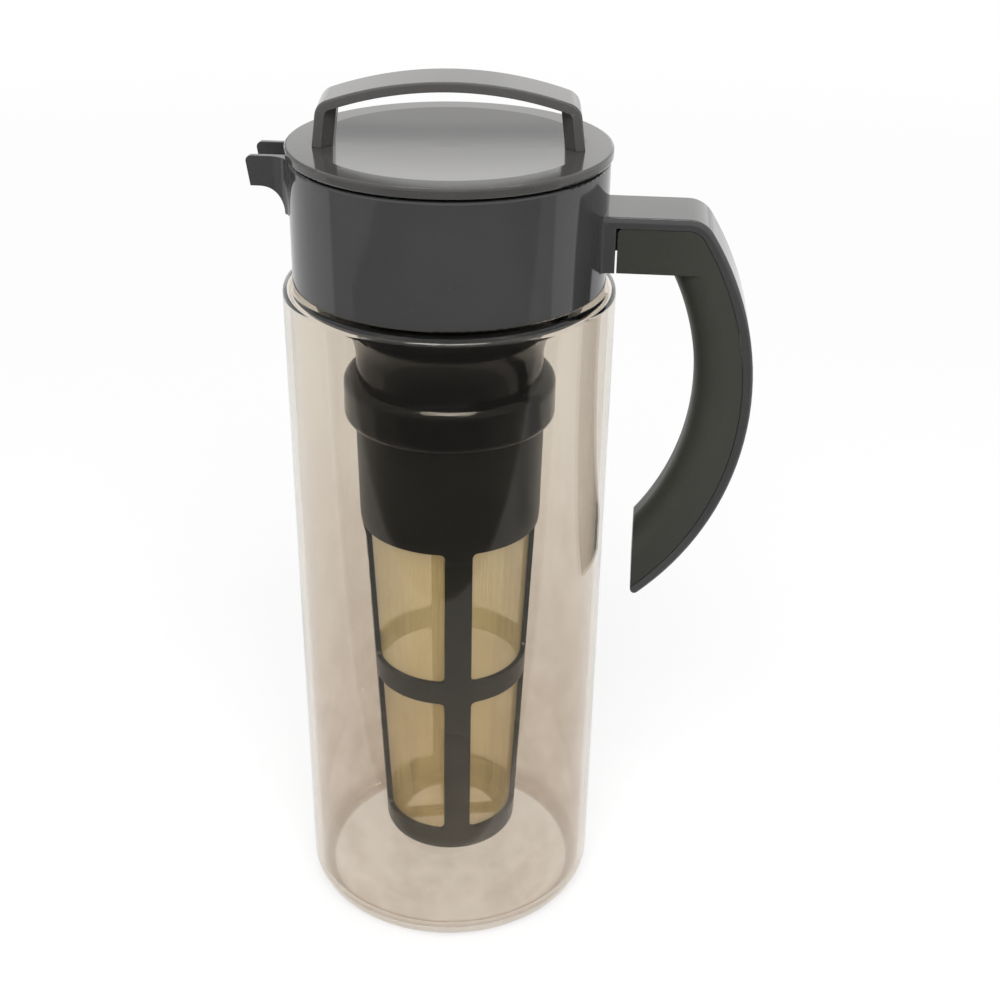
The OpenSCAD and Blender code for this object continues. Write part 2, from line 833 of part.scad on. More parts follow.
module infuser_socket() {
    color(black) {
        rotate_extrude()
            socket_section();
        for (i = [0:lug_count - 1])
            ring_sector(socket_bore_r - lug_depth, socket_bore_r + eps, lug_z0, lug_z0 + lug_h,
                        i * 360 / lug_count - lug_angle / 2, lug_angle);
    }
}

module socket_washer() {
    color(silicone)
        ring(sleeve_r - sleeve_wall, sleeve_r, washer_z1 - washer_t, washer_z1);
}

// Infuser

function basket_r(z) = basket_foot_r + basket_slope * (z - infuser_z0);

module infuser_outside() {
    foot_x = basket_foot_r - foot_r;
    polygon([
        [0, infuser_z0],
        [foot_x, infuser_z0],
        [basket_r(infuser_z0 + foot_r), infuser_z0 + foot_r],
        [basket_top_r, basket_z1],
        [0, basket_z1]
    ]);
    translate([foot_x + basket_slope * foot_r, infuser_z0 + foot_r])
        circle(foot_r);
    intersection() {
        translate([0, basket_z1 - eps])
            square([sleeve_end_r, sleeve_round_h + eps]);
        translate([sleeve_end_r - round_r, sleeve_z0])
            circle(round_r, $fn = 360);
    }
    polygon([
        [0, sleeve_z0 - eps],
        [sleeve_end_r, sleeve_z0 - eps],
        [sleeve_r, socket_z0],
        [sleeve_r, infuser_z1],
        [0, infuser_z1]
    ]);
}

module infuser_inside() {
    floor_z = infuser_z0 + foot_floor_t;
    polygon([
        [0, floor_z],
        [basket_r(floor_z) - basket_wall, floor_z],
        [basket_top_r - basket_wall, basket_z1],
        [sleeve_end_r - sleeve_wall, sleeve_z0],
        [sleeve_r - sleeve_wall, socket_z0],
        [sleeve_r - sleeve_wall, infuser_z1 + overrun],
        [0, infuser_z1 + overrun]
    ]);
    square([basket_foot_r - foot_rim_w, floor_z + eps]);
}

// One side of a window, drawn as (y, z), with its rib on the left
module window_half(z0, z1) {
    far_y = sleeve_r;
    translate([rib_w / 2 + window_r, z0])
        square([far_y - rib_w / 2 - window_r, z1 - z0]);
    translate([rib_w / 2, z0 + window_r])
        square([2 * window_r, z1 - z0 - 2 * window_r]);
    for (z = [z0 + window_r, z1 - window_r])
        translate([rib_w / 2 + window_r, z])
            circle(window_r);
}

// The window halves on both sides of one rib, reaching out from the middle of the infuser
module windows_beside_rib() {
    middle_x = basket_foot_r / 2;
    for (side = [-1, 1])
        for (row = [[lower_window_z0, lower_window_z1], [upper_window_z0, upper_window_z1]])
            intersection() {
                translate([sleeve_r + overrun, 0, 0])
                    rotate([90, 0, -90])
                        linear_extrude(height = sleeve_r + overrun - middle_x)
                            mirror([side > 0 ? 0 : 1, 0])
                                window_half(row[0], row[1]);
                rotate([0, 0, side > 0 ? -45 - eps : 0])
                    rotate_extrude(angle = 45 + eps)
                        translate([0, row[0] - overrun])
                            square([sleeve_r + overrun, row[1] - row[0] + 2 * overrun]);
            }
}

// The way that a lug takes into the sleeve: down from the top, then round
module lug_track() {
    side_gap = 2;
    track_r = sleeve_r - lug_depth - running_gap / 2;
    entry = lug_angle + side_gap;
    ring_sector(track_r, sleeve_r + overrun, lug_z0 - running_gap, lug_z0 + lug_h + running_gap,
                -entry / 2 - twist_angle, twist_angle + entry);
    ring_sector(track_r, sleeve_r + overrun, lug_z0, infuser_z1 + overrun, -entry / 2 - twist_angle, entry);
}

module infuser_frame() {
    color(frame_grey) {
        difference() {
            rotate_extrude()
                difference() {
                    infuser_outside();
                    infuser_inside();
                }
            for (i = [0:3])
                rotate([0, 0, rib_turn + i * 90])
                    windows_beside_rib();
            for (i = [0:lug_count - 1])
                rotate([0, 0, i * 360 / lug_count])
                    lug_track();
        }
        for (i = [0, 1])
            rotate([0, 0, rib_turn + i * 90])
                translate([-basket_foot_r + foot_rim_w / 2, -cross_w / 2, infuser_z0])
                    cube([2 * basket_foot_r - foot_rim_w, cross_w, foot_floor_t]);
    }
}

module infuser_mesh() {
    inset = basket_wall + mesh_gap;
    color(mesh_tan)
        rotate_extrude()
            polygon([
                [basket_r(mesh_z0) - inset - mesh_t, mesh_z0],
                [basket_r(mesh_z0) - inset, mesh_z0],
                [basket_r(mesh_z1) - inset, mesh_z1],
                [basket_r(mesh_z1) - inset - mesh_t, mesh_z1]
            ]);
}

module foot_mesh() {
    color(mesh_tan)
        translate([0, 0, mesh_z0])
            cylinder(r = basket_r(mesh_z0) - basket_wall - mesh_t - 2 * mesh_gap, h = mesh_t);
}

// Lid

module lid_cap() {
    color(dark_grey)
        difference() {
            rotate_extrude()
                difference() {
                    edged_disc(lid_r, lid_z0, lid_z1, lid_edge_r);
                    translate([0, dish_centre_z])
                        circle(dish_sphere_r, $fn = 1440);
                }
            for (side = [0, 180])
                rotate([0, 0, bail_turn + side])
                    leg_tenon(fixed_gap);
        }
}

module leg_tenon(gap) {
    translate([bail_foot_x - (bail_t + tenon_t) / 2 - gap, -tenon_w / 2 - gap, lid_z0 - gap])
        cube([tenon_t + 2 * gap, tenon_w + 2 * gap, lid_rim_h + 2 * gap]);
}

module bail_leg() {
    rib_y = leg_rib_w / 2;
    foot = leg_len + dish_depth;
    translate([bend_centre[0], 0, bend_centre[1] + arch_z])
        rotate([0, -bail_lean, 0])
            translate([0, 0, -foot])
                linear_extrude(height = foot)
                    strap_section(bail_bend_r, bail_t, bail_w, bail_edge_r);
    intersection() {
        translate([bend_centre[0], 0, bend_centre[1] + arch_z])
            rotate([0, -bail_lean, 0])
                translate([bail_bend_r - bail_t, 0, -foot])
                    linear_extrude(height = foot + 2 * bail_bend_r)
                        polygon([
                            [eps, -bail_w / 2 + bail_edge_r],
                            [-leg_rib_t, -rib_y],
                            [-leg_rib_t, rib_y],
                            [eps, bail_w / 2 - bail_edge_r]
                        ]);
        translate([0, 0, arch_z])
            rotate([90, 0, 0])
                cylinder(r = bail_arch_r - bail_t / 2, h = through, center = true, $fn = 720);
    }
    bend_sweep(bend_centre[0], bend_centre[1] + arch_z, bail_lean, arch_angle)
        strap_section(bail_bend_r - step, bail_t - 2 * step, bail_w - 2 * step, bail_edge_r);
}

module lid_bail() {
    color(dark_grey)
        rotate([0, 0, bail_turn]) {
            intersection() {
                union() {
                    for (side = [0, 180])
                        rotate([0, 0, side])
                            bail_leg();
                    arc_sweep(0, arch_z, arch_angle, 180 - arch_angle)
                        strap_section(bail_arch_r, bail_t, bail_w, bail_edge_r);
                }
                translate([0, 0, dish_centre_z])
                    sphere(r = dish_sphere_r - fixed_gap / 2, $fn = 720);
            }
            for (side = [0, 180])
                rotate([0, 0, side])
                    leg_tenon(0);
        }
}

module valve_section() {
    translate([valve_inner_r, valve_z0])
        square([valve_wall, valve_z1 - valve_z0]);
    translate([0, valve_z1 - valve_wall])
        square([valve_r, valve_wall]);
    translate([valve_inner_r, valve_bead_z1 - valve_bead_h])
        square([valve_bead_r - valve_inner_r, valve_bead_h]);
}

module lid_valve() {
    color(black)
        difference() {
            rotate_extrude()
                difference() {
                    valve_section();
                    translate([valve_groove_r, valve_seal_z0])
                        square([valve_wall, valve_seal_h]);
                }
            rotate([0, 0, -90])
                pour_window(valve_inner_r - stopper_wall, cup_r);
        }
}

module valve_seal() {
    seal_r1 = cup_inner_r - seal_gap;
    color(silicone)
        ring(valve_groove_r + fixed_gap, seal_r1, valve_seal_z0 + fixed_gap,
             valve_seal_z0 + valve_seal_h - fixed_gap);
}

jar();
rim_seal();
collar();
handle_grip();
stopper();
stopper_seal();
infuser_socket();
socket_washer();
infuser_frame();
infuser_mesh();
foot_mesh();
lid_cap();
lid_bail();
lid_valve();
valve_seal();
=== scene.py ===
# %% [markdown]
# # An iced tea pitcher, dressed for its picture
# The pitcher is a clear jar with a dark collar and handle. A stopper hangs a mesh infuser in the
# jar, and a turning lid with a bail closes the top. Its pieces come from the packed model, at
# their real size, so this lesson never moves them: it gives each piece its finish, builds a small
# white studio and sets the camera where the photographer stood.

# %% Load the frame
import math

import bpy
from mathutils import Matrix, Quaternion, Vector


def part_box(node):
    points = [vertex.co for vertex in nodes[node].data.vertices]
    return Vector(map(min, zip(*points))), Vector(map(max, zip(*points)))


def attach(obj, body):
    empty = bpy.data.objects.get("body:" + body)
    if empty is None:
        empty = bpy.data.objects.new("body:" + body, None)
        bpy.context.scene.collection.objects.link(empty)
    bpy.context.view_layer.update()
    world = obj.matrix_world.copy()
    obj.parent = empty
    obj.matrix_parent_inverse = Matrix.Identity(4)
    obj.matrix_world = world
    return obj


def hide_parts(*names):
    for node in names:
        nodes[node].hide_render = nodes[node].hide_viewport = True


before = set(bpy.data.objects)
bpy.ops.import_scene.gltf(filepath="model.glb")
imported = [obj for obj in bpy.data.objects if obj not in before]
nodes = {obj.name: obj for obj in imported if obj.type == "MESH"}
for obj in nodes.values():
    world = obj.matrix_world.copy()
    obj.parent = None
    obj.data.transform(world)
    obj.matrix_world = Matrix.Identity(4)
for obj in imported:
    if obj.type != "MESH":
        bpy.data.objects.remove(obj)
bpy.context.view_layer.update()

print("pieces:", ", ".join(sorted(nodes)))

# %% [markdown]
# ## Places that the finishes need
# A finish that changes along the piece, such as the stain on the jar's wall or the polish that
# fingers leave on a grip, has to know where the piece is. Reading those places from the frame
# keeps the finish in step with the part when a size changes, which typed numbers would not.

# %% Measure the pieces
MM = 0.001
jar_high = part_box("jar")[1]
grip_low, grip_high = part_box("handle_grip")
mesh_low, mesh_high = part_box("infuser_mesh")
mesh_radius = mesh_high.x
print("jar radius:", round(jar_high.x / MM, 1), "mm, mesh radius:", round(mesh_radius / MM, 1), "mm")

# %% [markdown]
# ## The camera
# The picture was taken from a little above the lid, nearly straight on. The lens and the place
# were worked out from the ellipses of the lid and the base: the two widths give the distance and
# the two heights give the tilt. A track quaternion turns the camera along its line of sight, and
# a small roll leans the frame as the hand that held the camera did.

# %% Set up the camera
LENS = 58.81
CAMERA_PLACE = Vector((0.0594, -0.5238, 0.4342))
TILT_DOWN = math.radians(27.44)
HEADING = math.radians(4.5)
ROLL = math.radians(0.8)
NEAR_CLIP = 0.01
line_of_sight = Vector((
    -math.sin(HEADING) * math.cos(TILT_DOWN),
    math.cos(HEADING) * math.cos(TILT_DOWN),
    -math.sin(TILT_DOWN),
))
camera_data = bpy.data.cameras.new("camera")
camera_data.lens = LENS
camera_data.clip_start = NEAR_CLIP
camera = bpy.data.objects.new("camera", camera_data)
camera.location = CAMERA_PLACE
camera.rotation_mode = "QUATERNION"
camera.rotation_quaternion = line_of_sight.to_track_quat("-Z", "Y") @ Quaternion((0, 0, 1), ROLL)
bpy.context.scene.collection.objects.link(camera)
bpy.context.scene.camera = camera
bpy.context.scene.view_settings.view_transform = "Standard"
print("camera looks along", [round(c, 3) for c in line_of_sight])

# %% [markdown]
# ## Shader maths as Python
# Node graphs are easier to read as formulas. A `Wire` holds one output socket: adding or
# multiplying two wires adds the Math node that does it, and `node` makes any other node, with
# its settings first and then its sockets. Numbers that are the same all over a piece stay out of
# the graph and are set on the shader itself.

# %% The wire class
class Wire:
    """One output socket of a node tree."""

    def __init__(self, tree, socket=None):
        self.tree = tree
        self.socket = socket

    def node(self, kind, settings=None, sockets=None, output=0):
        made = self.tree.nodes.new(kind)
        for name, value in (settings or {}).items():
            if name == "stops":
                set_stops(made.color_ramp, value)
            else:
                setattr(made, name, value)
        for name, value in (sockets or {}).items():
            feed(made.inputs[name], value)
        return Wire(self.tree, made.outputs[output])

    def maths(self, operation, *values):
        return self.node("ShaderNodeMath", {"operation": operation}, dict(enumerate(values)))

    def __add__(self, other):
        return self.maths("ADD", self, other)

    def __sub__(self, other):
        return self.maths("SUBTRACT", self, other)

    def __mul__(self, other):
        return self.maths("MULTIPLY", self, other)


def feed(socket, value):
    """Links a wire to a socket, or sets the socket to a plain value."""
    if isinstance(value, Wire):
        value.tree.links.new(value.socket, socket)
    else:
        socket.default_value = value


def set_stops(ramp, stops):
    """Gives a colour ramp its stops, each a place and a grey level."""
    while len(ramp.elements) < len(stops):
        ramp.elements.new(1)
    for element, (place, level) in zip(ramp.elements, stops):
        element.position = place
        element.color = (level, level, level, 1)


print("wire operators:", [name for name in vars(Wire) if name.strip("_") in ("add", "sub", "mul")])

# %% [markdown]
# ## Tools for every finish
# A few textures come back in each finish: cloudy noise for handling marks, a ramp that turns
# noise into patches, a fade along a length, a blend of two colours, and a bump that turns a height
# in metres into a tilted surface. All of them work from object coordinates, which are the frame's
# own metres, so a grain of half a millimetre is written as half a millimetre.

# %% Textures and colours
def noise(place, size, detail=2.0, roughness=0.5):
    """Cloudy noise from 0 to 1 whose patches are about size metres across."""
    sockets = {"Vector": place, "Scale": 1 / size, "Detail": detail, "Roughness": roughness}
    return place.node("ShaderNodeTexNoise", {}, sockets, "Fac")


def patches(value, *stops):
    """Remaps a value through the stops of a ramp."""
    return value.node("ShaderNodeValToRGB", {"stops": stops}, {"Fac": value})


def fade(value, start, end):
    """1 where the value has not yet come to start, and 0 where it is past end."""
    sockets = {"Value": value, "From Min": start, "From Max": end, "To Min": 1.0, "To Max": 0.0}
    return value.node("ShaderNodeMapRange", {}, sockets)


def blend(factor, first, second):
    """Mixes two colours."""
    return factor.node("ShaderNodeMix", {"data_type": "RGBA"}, {0: factor, 6: first, 7: second}, 2)


NEUTRAL = (1.0, 1.0, 1.0)
WARM = (1.03, 1.0, 0.95)
OLIVE = (1.0, 1.03, 0.85)


def shade(level, cast=NEUTRAL):
    """A grey of the given level with a slight cast of colour."""
    return (level * cast[0], level * cast[1], level * cast[2], 1)


print("an olive grey:", [round(c, 3) for c in shade(0.05, OLIVE)])

# %% Coordinates and normals
BEVEL_SAMPLES = 4


def stretch(place, scale):
    """Scales coordinates differently along X, Y and Z."""
    return place.node("ShaderNodeVectorMath", {"operation": "MULTIPLY"}, {0: place, 1: scale})


def axis(place, name):
    """The X, Y or Z of coordinates."""
    return place.node("ShaderNodeSeparateXYZ", {}, {"Vector": place}, name)


def length(place):
    """The distance of coordinates from the origin."""
    return place.node("ShaderNodeVectorMath", {"operation": "LENGTH"}, {0: place}, "Value")


def relief(height, depth, under=None):
    """A surface normal from a height of 0 to 1 that stands for depth metres."""
    sockets = {"Strength": 1.0, "Distance": depth, "Height": height}
    if under is not None:
        sockets["Normal"] = under
    return height.node("ShaderNodeBump", {}, sockets, "Normal")


def soft_edges(place, radius):
    """A normal that rounds every edge by radius metres, as a mould's edges are."""
    return place.node("ShaderNodeBevel", {"samples": BEVEL_SAMPLES}, {"Radius": radius}, "Normal")


print("soft edges from", BEVEL_SAMPLES, "samples")

# %% Start and place a finish
def start_finish(name):
    """A new material: returns it, its shader's sockets and the object coordinates."""
    material = bpy.data.materials.new(name)
    material.use_nodes = True
    shader = material.node_tree.nodes["Principled BSDF"]
    place = Wire(material.node_tree).node("ShaderNodeTexCoord", output="Object")
    return material, shader.inputs, place


def dress(material, *names):
    """Puts a finish on CAD nodes."""
    for name in names:
        nodes[name].material_slots[0].material = material
    print(material.name, "on", ", ".join(names))


print("pieces to dress:", len(nodes))

# %% [markdown]
# ## Turning the jar on a lathe
# A clear wall shows every facet twice, once on its outside and once on its inside, so the jar is
# turned again here as a fine lathe shape. The half section is the drawing of the real jar: heel,
# straight wall, shoulder, neck with its snap bead, and the inside parallel to it. Arcs are worked
# out from a centre and a radius, and spinning the section takes one loop.

# %% Half section of the jar
WALL = 2.4
FLOOR_T = 3.2
HEEL_R = 8.0
INNER_HEEL_R = 7.0
SHOULDER_R = 3.0
NECK_R = 49.4
NECK_WALL = 3.0
NECK_H = 22.6
BEAD_R = 1.2
BEAD_H = 8.4
BASE_R = 54.6
ARC_STEPS = 12


def arc(centre_r, centre_z, radius, start, end):
    """Points of an arc, as (r, z) in millimetres, from the start angle to the end angle."""
    angles = [math.radians(start + (end - start) * i / ARC_STEPS) for i in range(ARC_STEPS + 1)]
    return [(centre_r + radius * math.cos(a), centre_z + radius * math.sin(a)) for a in angles]


top_r = jar_high.x / MM
rim_z = jar_high.z / MM
shoulder_z = rim_z - NECK_H
bend_z = shoulder_z - SHOULDER_R
bead_z = shoulder_z + BEAD_H
floor_r = BASE_R - WALL - INNER_HEEL_R
outside = [(0, 0)] + arc(BASE_R - HEEL_R, HEEL_R, HEEL_R, -90, 0)
outside += arc(top_r - SHOULDER_R, bend_z, SHOULDER_R, 0, 90)
outside += [(NECK_R, shoulder_z)] + arc(NECK_R, bead_z, BEAD_R, -90, 90) + [(NECK_R, rim_z)]
inside = [(NECK_R - NECK_WALL, rim_z), (NECK_R - NECK_WALL, shoulder_z - WALL)]
inside += arc(top_r - SHOULDER_R, bend_z, SHOULDER_R - WALL, 90, 0)
inside += arc(floor_r, FLOOR_T + INNER_HEEL_R, INNER_HEEL_R, 0, -90)
inside += [(0, FLOOR_T)]
section = outside + inside
print("half section of", len(section), "points")

# %% Spin the section
SPIN_STEPS = 360
SHARP_ANGLE = math.radians(40)


def lathe(name, points, steps):
    """A closed smooth solid: points are (r, z) in millimetres, from the axis and back to it."""
    angles = [2 * math.pi * i / steps for i in range(steps)]
    turns = [(math.cos(a), math.sin(a)) for a in angles]
    rings = points[1:-1]
    spots = [(r * c * MM, r * s * MM, z * MM) for r, z in rings for c, s in turns]
    spots += [(0, 0, points[0][1] * MM), (0, 0, points[-1][1] * MM)]
    first, last = len(spots) - 2, len(spots) - 1
    end = (len(rings) - 1) * steps
    faces = []
    for i in range(steps):
        j = (i + 1) % steps
        faces.append((first, j, i))
        for k in range(len(rings) - 1):
            faces.append((k * steps + i, k * steps + j, (k + 1) * steps + j, (k + 1) * steps + i))
        faces.append((last, end + i, end + j))
    mesh = bpy.data.meshes.new(name)
    mesh.from_pydata(spots, [], faces)
    mesh.polygons.foreach_set("use_smooth", [True] * len(mesh.polygons))
    mesh.set_sharp_from_angle(angle=SHARP_ANGLE)
    made = bpy.data.objects.new(name, mesh)
    bpy.context.scene.collection.objects.link(made)
    return made


jar = lathe("turned_jar", section, SPIN_STEPS)
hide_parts("jar")
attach(jar, "pitcher")
print("turned jar:", len(jar.data.vertices), "points")

# %% [markdown]
# ## The clear plastic
# The jar is moulded from clear plastic, with walls of 2.4 mm and a floor of 3.2 mm. Glass shading
# bends light at each of its four faces, so the infuser wavers a little behind it. A perfect surface
# would look like a drawing: a slow wave in the walls, a film of wiping marks, cloudy blotches and a
# few fine scratches near the foot make it a used jar. The warm tint is painted light: it stands in
# for the warm room light seen through the clear plastic. It is deeper towards the foot, deepest in
# the heel, where it is painted shade for the dark edge of the base, and weak on the flat floor,
# which is painted paler. A little warm absorption in the plastic itself, which adds to that tint,
# darkens the edges, where the eye looks along the wall.

# %% Marks and tints of the jar
WAVE_SIZE = 40 * MM
WAVE_DEPTH = 0.05 * MM
WIPE_SIZE = 14 * MM
WIPE_STRETCH = (1, 1, 0.25)
WIPE_HAZE = 0.02
BLOTCH_SIZE = 18 * MM
SCRATCH_SIZE = 1.2 * MM
SCRATCH_STRETCH = (1, 6, 1)
SCRATCH_TOP = 24 * MM
SCRATCH_HAZE = 0.1
TINT_DEEP_BELOW = 13.4 * MM
TINT_GONE_ABOVE = 201 * MM
HEEL_SHADE_TOP = 9.4 * MM
PALE_FLOOR_TOP = 3.75 * MM
PALE_FLOOR_EDGE = 3.4 * MM
# Painted light: the warm tints below stand in for the room light seen through the clear jar, paler high
# up and deeper low down.
PAINTED_UPPER_TINTS = (0.828, 0.788, 0.728, 1), (0.775, 0.725, 0.665, 1)
PAINTED_LOWER_TINTS = (0.66, 0.57, 0.475, 1), (0.757, 0.68, 0.595, 1)
PAINTED_HEEL_SHADE = (0.55, 0.47, 0.39, 1)
PALE_FLOOR_TINT = (0.95, 0.93, 0.90, 1)
BODY = {"Color": (0.5, 0.36, 0.15, 1), "Density": 18.0}
CLEAR_IOR = 1.49
print("stain fades from", round(TINT_DEEP_BELOW / MM), "to", round(TINT_GONE_ABOVE / MM), "mm above the base")

# %% Clear jar
def jar_tint(place, wiping):
    """The colour of the jar's faces: a painted warm tint for the room light seen through it, lightest at
    the top, with painted shade in the heel and a paler floor.
    """
    height = axis(place, "Z")
    blotches = patches(noise(place, BLOTCH_SIZE, 4.0, 0.6), (0.36, 0), (0.64, 1))
    # The painted warm tint deepens from the top towards the foot.
    stain_and_painted_tint = fade(height, TINT_DEEP_BELOW, TINT_GONE_ABOVE)
    walls = blend(stain_and_painted_tint, blend(wiping, *PAINTED_UPPER_TINTS), blend(blotches, *PAINTED_LOWER_TINTS))
    # Painted shade: the heel, up to a little above the floor, is darkened for the dark edge at the base.
    heel = blend(fade(height, FLOOR_T * MM, HEEL_SHADE_TOP), walls, PAINTED_HEEL_SHADE)
    # Painted light: the flat floor inside the heel is painted paler, nearly clear, which lifts the base.
    from_axis = length(stretch(place, (1, 1, 0)))
    on_floor = fade(from_axis, floor_r * MM, floor_r * MM + PALE_FLOOR_EDGE)
    pale_floor = on_floor * fade(height, PALE_FLOOR_TOP, HEEL_R * MM)
    return blend(pale_floor, heel, PALE_FLOOR_TINT)


def clear_jar():
    material, sockets, place = start_finish("clear_jar")
    wiping = patches(noise(stretch(place, WIPE_STRETCH), WIPE_SIZE, 4.0, 0.6), (0.45, 0), (0.75, 1))
    scratches = noise(stretch(place, SCRATCH_STRETCH), SCRATCH_SIZE, 3.0, 0.7)
    scratched = patches(scratches, (0.62, 0), (0.72, 1)) * fade(axis(place, "Z"), 0.0, SCRATCH_TOP)
    feed(sockets["Base Color"], jar_tint(place, wiping))
    feed(sockets["Roughness"], wiping * WIPE_HAZE + scratched * SCRATCH_HAZE)
    feed(sockets["Normal"], relief(noise(place, WAVE_SIZE, 1.0), WAVE_DEPTH))
    feed(sockets["Transmission Weight"], 1.0)
    feed(sockets["IOR"], CLEAR_IOR)
    depth = place.node("ShaderNodeVolumeAbsorption", {}, BODY)
    feed(material.node_tree.nodes["Material Output"].inputs["Volume"], depth)
    return material


jar.data.materials.append(clear_jar())
print("jar finish:", jar.data.materials[0].name)

# %% [markdown]
# ## Glossy grey plastic
# Collar, spine, lid and bail are moulded in one dark grey. Gloss plastic isn't a mirror: the mould
# leaves a shallow orange peel, wiping leaves softer patches, and dust gathers in specks. One
# function makes this finish for all of them: the lid is duller than the collar, and the bail, which
# every hand takes hold of, is the most worn. Lid and bail are painted paler and warmer than the
# collar, the bail the palest: painted light on tops that face the lamps. The stopper is the same
# plastic in black.

# %% Glossy plastics
MOULDED_IOR = 1.5
DARK_CLOUD = 0.85
PALE_CLOUD = 1.2
PEEL_SIZE = 9 * MM
PEEL_DEPTH = 0.01 * MM
GLOSS_EDGE = 0.35 * MM
GLOSS_CLOUD_SIZE = 35 * MM
CLOUD_HAZE = 0.05
DUST_SIZE = 0.9 * MM
DUST_LIFT = 3
HAIRLINE_SIZE = 5 * MM
HAIRLINE_STRETCH = (1, 9, 9)
HAIRLINE_HAZE = 0.12


def gloss_plastic(name, level, cast, gloss, wear, shine):
    material, sockets, place = start_finish(name)
    clouds = noise(place, GLOSS_CLOUD_SIZE, 3.0, 0.55)
    dust = patches(noise(place, DUST_SIZE, 1.0), (0.72, 0), (0.78, 1))
    hairlines = noise(stretch(place, HAIRLINE_STRETCH), HAIRLINE_SIZE, 2.0)
    worn = patches(hairlines, (0.60, 0), (0.70, 1)) * wear
    tone = blend(clouds, shade(level * DARK_CLOUD, cast), shade(level * PALE_CLOUD, cast))
    feed(sockets["Base Color"], blend(dust * wear, tone, shade(level * DUST_LIFT, WARM)))
    feed(sockets["Roughness"], clouds * CLOUD_HAZE + worn * HAIRLINE_HAZE + gloss)
    peel = noise(place, PEEL_SIZE, 1.0)
    feed(sockets["Normal"], relief(peel, PEEL_DEPTH, soft_edges(place, GLOSS_EDGE)))
    feed(sockets["Specular IOR Level"], shine)
    feed(sockets["IOR"], MOULDED_IOR)
    return material


collar_grey = gloss_plastic("collar_plastic", level=0.04, cast=NEUTRAL, gloss=0.05, wear=0.15, shine=0.4)
# Lid and bail are the collar's grey painted paler and warmer: painted light on tops that face the lamps.
lid_grey = gloss_plastic("lid_plastic", level=0.05, cast=WARM, gloss=0.09, wear=0.3, shine=0.38)
bail_grey = gloss_plastic("bail_plastic", level=0.075, cast=WARM, gloss=0.16, wear=0.3, shine=0.25)
black = gloss_plastic("stopper_plastic", level=0.004, cast=OLIVE, gloss=0.12, wear=0.2, shine=0.28)
dress(collar_grey, "collar")
dress(lid_grey, "lid_cap")
dress(bail_grey, "lid_bail")
dress(black, "stopper", "infuser_socket", "lid_valve")

# %% [markdown]
# ## Satin grip and basket frame
# The grip was moulded against a sparked steel face, which leaves an even grain of fine pits, so it
# looks satin and feels dry. The hollow where the fingers close is polished by use. The infuser's
# frame is a smoother moulding in near-black, painted paler towards its foot: painted light, for the
# lamps that reach its foot while the collar shades its top.

# %% Satin plastics
GRAIN_SIZE = 0.7 * MM
GRAIN_SHARE = 0.25
GRAIN_LIFT = 1.8
SATIN_CLOUD_SIZE = 28 * MM
SATIN_HAZE = 0.1
POLISH = 0.12
SATIN_EDGE = 0.4 * MM
SATIN_SHINE = 0.2


def satin_plastic(name, level, polish_and_light_level, gloss, grain_depth, wear):
    material, sockets, place = start_finish(name)
    grain = noise(place, GRAIN_SIZE, 2.0, 0.6)
    clouds = noise(place, SATIN_CLOUD_SIZE, 3.0, 0.55)
    worn = wear(place)
    tone = blend(clouds, shade(level * DARK_CLOUD, OLIVE), shade(level * PALE_CLOUD, OLIVE))
    # On the basket frame this tone is painted light, paler towards the foot; on the grip it is the
    # polished hollow.
    polish_and_light_tone = blend(worn, tone, shade(polish_and_light_level, OLIVE))
    feed(sockets["Base Color"], blend(grain * GRAIN_SHARE, polish_and_light_tone, shade(level * GRAIN_LIFT, OLIVE)))
    feed(sockets["Roughness"], clouds * SATIN_HAZE + gloss - worn * POLISH)
    feed(sockets["Normal"], relief(grain, grain_depth, soft_edges(place, SATIN_EDGE)))
    feed(sockets["Specular IOR Level"], SATIN_SHINE)
    feed(sockets["IOR"], MOULDED_IOR)
    return material


def finger_polish(place):
    """1 in the hollow of the grip, where the fingers close, and 0 on its back."""
    width = grip_high.x - grip_low.x
    return fade(axis(place, "X"), grip_low.x + 0.35 * width, grip_low.x + 0.75 * width)


def painted_foot_light(place):
    """1 at the foot of the infuser and 0 at its top: painted light, paler at the foot that the lamps
    reach.
    """
    return fade(axis(place, "Z"), mesh_low.z, mesh_high.z)


grip_grey = satin_plastic("grip_plastic", 0.033, 0.029, 0.42, 0.03 * MM, finger_polish)
frame_black = satin_plastic("frame_plastic", 0.008, 0.07, 0.3, 0.002 * MM, painted_foot_light)
dress(grip_grey, "handle_grip")
dress(frame_black, "infuser_frame")

# %% [markdown]
# ## The mesh
# Tea leaves are held back by a woven nylon mesh that is moulded into the frame. Threads every
# half millimetre are far too many to model, so the weave is a pattern: two sets of stripes, one
# round the basket and one up it. Where neither has a thread the surface is open, and the far ribs
# show through. On the cone the stripes follow the angle, on the flat foot they follow X and Y.

# %% Woven mesh
THREAD_PITCH = 0.5 * MM
THREAD_EDGE = 0.935
THREAD_CORE = 0.99
OPEN_ALPHA = 0.08
WEAVE_DEPTH = 0.08 * MM
TEA_STAIN_SIZE = 22 * MM
THREAD_TINTS = (0.77, 0.65, 0.33, 1), (0.82, 0.71, 0.38, 1)
THREAD_SIDE_TINT = (0.77, 0.63, 0.26, 1)
THREAD_ROUGHNESS = 0.5
STAIN_ROUGHNESS = 0.2


def thread(value):
    """1 on the middle of each thread and 0 between threads."""
    angle = value * (2 * math.pi / THREAD_PITCH)
    return angle.maths("COSINE", angle) * 0.5 + 0.5


